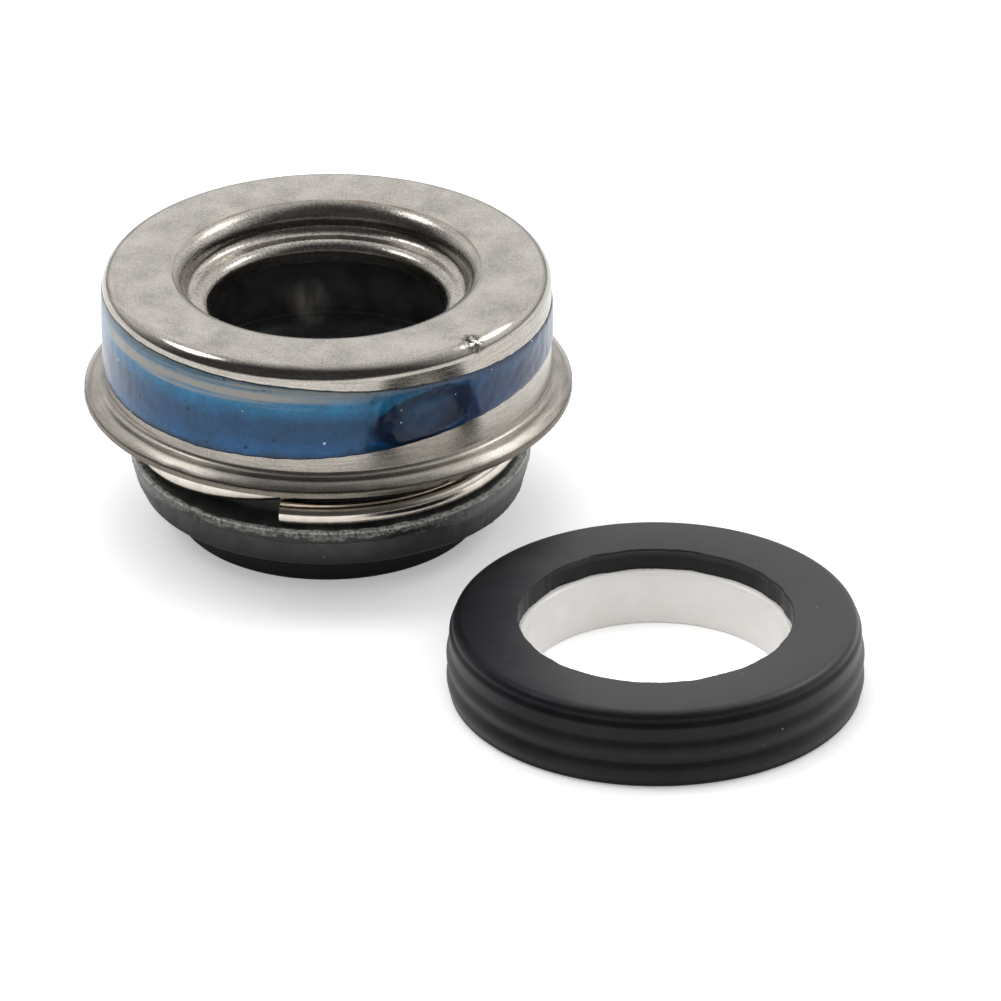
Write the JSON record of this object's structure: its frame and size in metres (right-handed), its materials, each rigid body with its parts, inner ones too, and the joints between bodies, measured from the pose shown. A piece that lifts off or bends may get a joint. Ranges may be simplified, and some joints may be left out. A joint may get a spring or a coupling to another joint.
{
  "type": "water pump mechanical seal",
  "caption": "Mechanical face seal for a small water pump: a sprung carbon-faced sealing head in a flanged press-in steel case, with its loose ceramic mating seat in a ribbed rubber cup.",
  "frame": {"origin": "centre of the head's sealing face, on the head's axis, in the plane that both pieces stand on", "axes": "+Z along the head's axis from the sealing face to the closed top of the case; the seat stands towards +X and -Y"},
  "size_m": [0.0481, 0.0512, 0.017],
  "materials": {
    "case": "satin drawn stainless sheet",
    "sealant_film": "glossy dried blue sealant",
    "spring": "bright stainless wire",
    "clamp_ring": "stamped stainless sheet",
    "bellows": "matte black moulded rubber",
    "carbon_ring": "smooth black carbon graphite",
    "ceramic_ring": "smooth off-white ceramic",
    "seat_cup": "matte black moulded rubber"
  },
  "bodies": {
    "face": {"carbon_ring": "carbon_ring", "bellows": "bellows", "spring": "spring", "ceramic_ring": "ceramic_ring", "seat_cup": "seat_cup"},
    "case": {"case": "case", "sealant_film": "sealant_film", "clamp_ring": "clamp_ring"}
  },
  "joints": [
    {"name": "case_press", "type": "slide", "parent": "face", "child": "case", "axis": [0, 0, -1], "range_m": [0, 0.003], "stiffness_N_per_m": 5400, "deforming": ["spring", "bellows"]}
  ]
}
